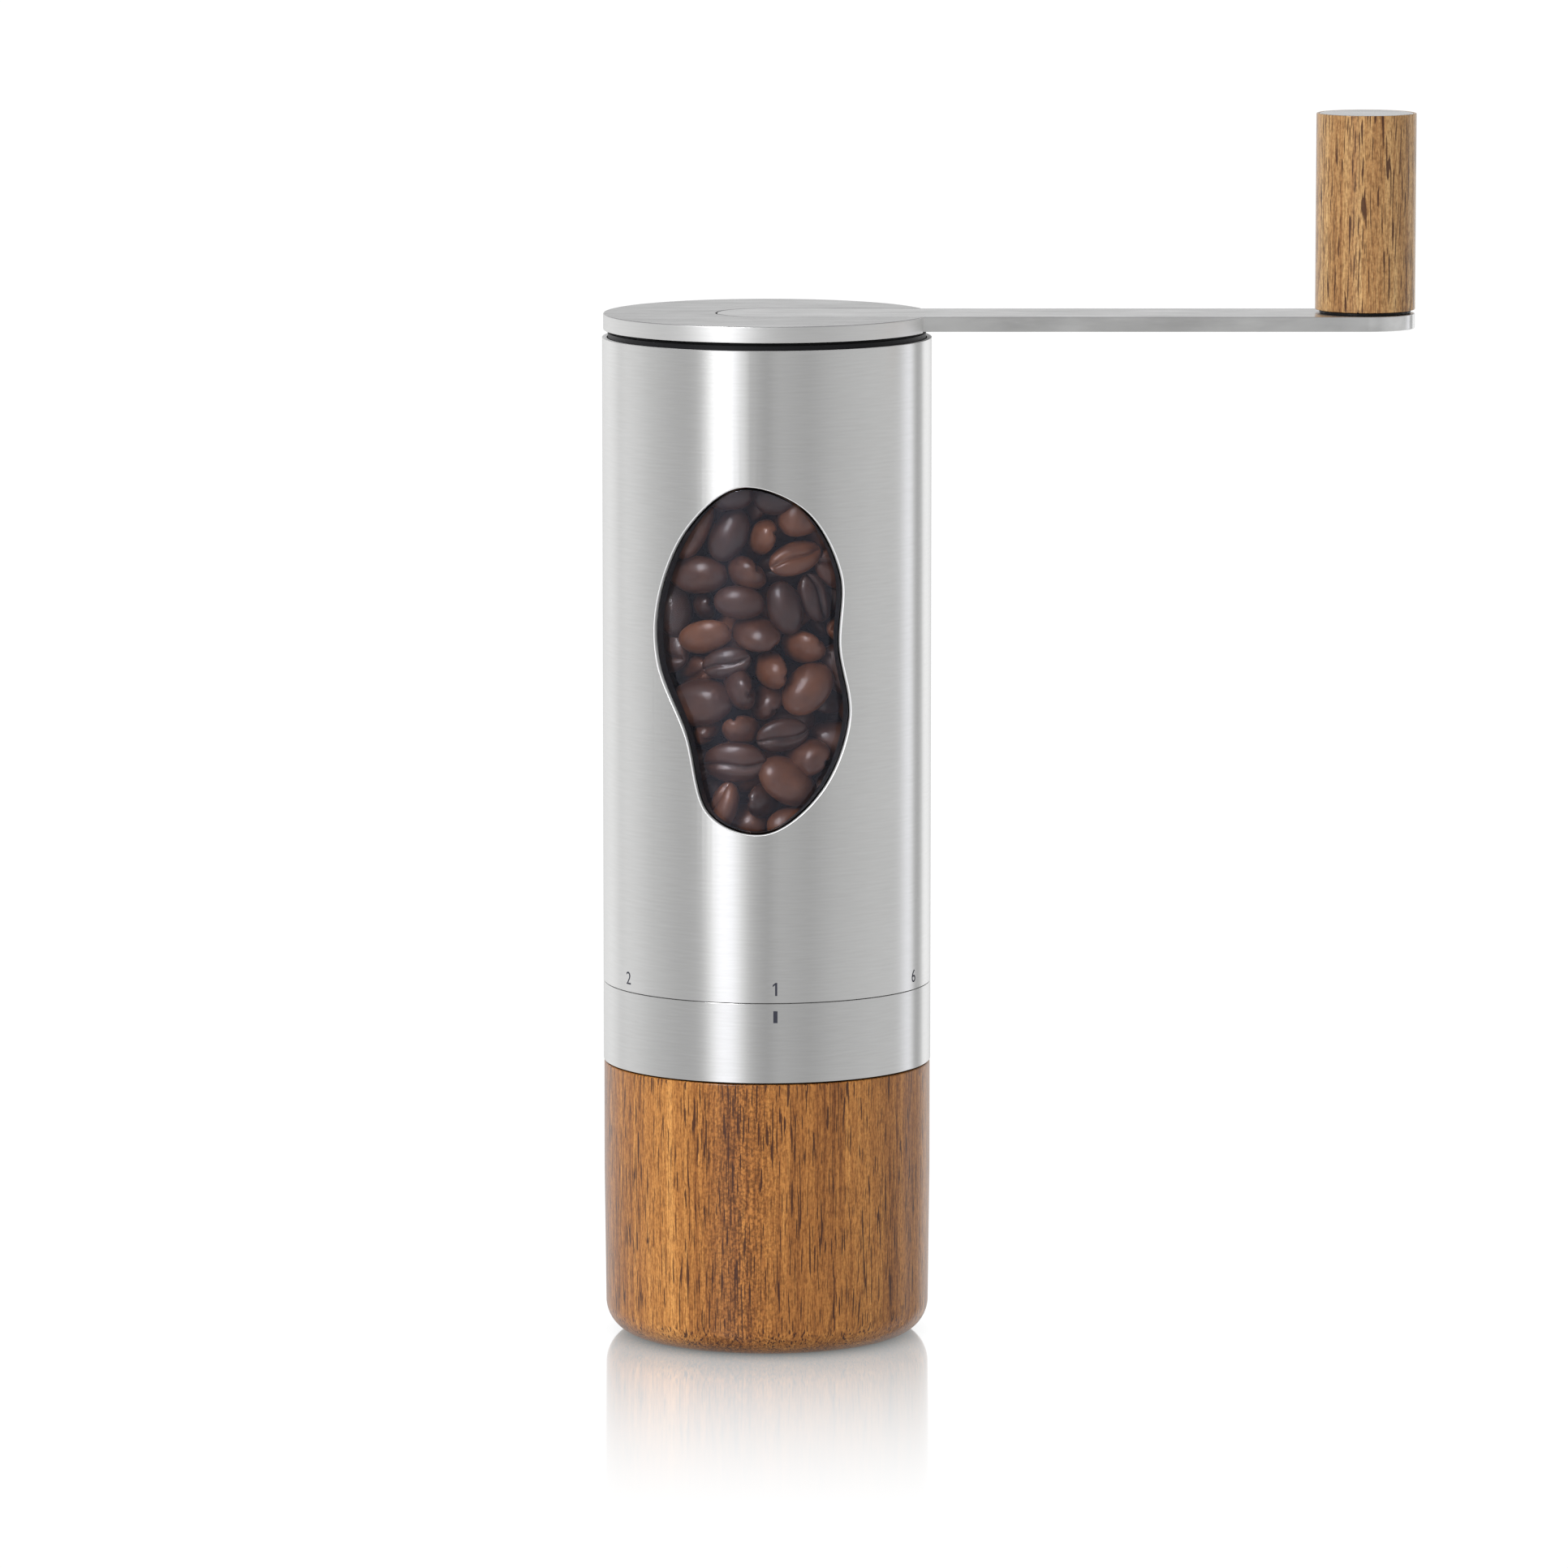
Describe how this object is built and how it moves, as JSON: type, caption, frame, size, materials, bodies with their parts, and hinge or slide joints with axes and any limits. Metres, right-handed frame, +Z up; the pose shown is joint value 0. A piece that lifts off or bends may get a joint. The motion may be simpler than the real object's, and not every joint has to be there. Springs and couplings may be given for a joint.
{
  "type": "hand crank coffee grinder",
  "caption": "Hand mill: steel tube with a bean window and a grind adjusting ring, on a wooden grounds cup, with a lift-off lid, crank arm and wooden knob.",
  "frame": {"origin": "centre of the cup's base, on the surface that the mill stands on", "axes": "+Z up along the shaft, +X along the crank arm at rest, the bean window towards -Y"},
  "size_m": [0.1355, 0.055, 0.2055],
  "materials": {
    "brushed_steel": "brushed",
    "bright_steel": "turned",
    "cup_wood": "satin lacquer",
    "knob_wood": "satin lacquer",
    "black_plastic": "satin moulded",
    "clear_plastic": "clear",
    "burr_ceramic": "sintered ceramic",
    "bush_bronze": "turned",
    "seal_rubber": "moulded"
  },
  "bodies": {
    "cup": {"wood_cup": "cup_wood", "cup_liner": "bright_steel"},
    "mill_body": {"body_tube": "brushed_steel", "hopper_sleeve": "black_plastic", "window_lens": "clear_plastic", "burr_housing": "black_plastic", "spigot_seal": "seal_rubber", "upper_bush": "bush_bronze", "outer_burr": "burr_ceramic", "burr_clamp_ring": "bright_steel", "clamp_screw_1": "bright_steel", "clamp_screw_2": "bright_steel", "clamp_screw_3": "bright_steel", "shaft_spring": "bright_steel"},
    "adjuster": {"adjust_ring": "brushed_steel", "adjust_collar": "black_plastic"},
    "bridge": {"bearing_bridge": "bright_steel", "lower_bush": "bush_bronze"},
    "shaft": {"drive_shaft": "bright_steel", "shaft_clip": "bright_steel", "thrust_washer": "bush_bronze", "burr_driver": "bright_steel", "inner_burr": "burr_ceramic", "burr_nut": "bright_steel"},
    "lid": {"lid_cover": "black_plastic", "lid_seal": "seal_rubber", "lid_bush": "bush_bronze"},
    "crank": {"crank_disc": "brushed_steel", "crank_arm": "brushed_steel", "crank_hub": "black_plastic", "hub_clip": "bright_steel", "hub_screw_1": "bright_steel", "hub_screw_2": "bright_steel", "hub_screw_3": "bright_steel", "hub_screw_4": "bright_steel", "knob_pin": "bright_steel", "knob_washer": "black_plastic"},
    "knob": {"knob_grip": "knob_wood", "knob_sleeve": "bush_bronze", "knob_cap": "brushed_steel"}
  },
  "joints": [
    {"name": "grinder_lift", "type": "slide", "parent": "cup", "child": "mill_body", "axis": [0, 0, 1], "range_m": [0, 0.08]},
    {"name": "adjust_turn", "type": "hinge", "parent": "mill_body", "child": "adjuster", "pos_m": [0, 0, 0.05325], "axis": [0, 0, 1], "range_deg": [-300, 0]},
    {"name": "burr_lift", "type": "slide", "parent": "mill_body", "child": "bridge", "axis": [0, 0, 1], "range_m": [-0.0011, 0], "deforming": ["shaft_spring"]},
    {"name": "shaft_spin", "type": "hinge", "parent": "bridge", "child": "shaft", "pos_m": [0, 0, 0.1], "axis": [0, 0, 1], "continuous": true},
    {"name": "lid_lift", "type": "slide", "parent": "mill_body", "child": "lid", "axis": [0, 0, 1], "range_m": [0, 0.06]},
    {"name": "crank_turn", "type": "hinge", "parent": "lid", "child": "crank", "pos_m": [0, 0, 0.165], "axis": [0, 0, 1], "continuous": true},
    {"name": "knob_spin", "type": "hinge", "parent": "crank", "child": "knob", "pos_m": [0.0997, 0, 0.188], "axis": [0, 0, 1], "continuous": true}
  ],
  "couplings": [
    {"joint": "burr_lift", "follows": "adjust_turn", "m_per_rad": 0.00019099},
    {"joint": "shaft_spin", "follows": "crank_turn", "ratio": 1}
  ]
}
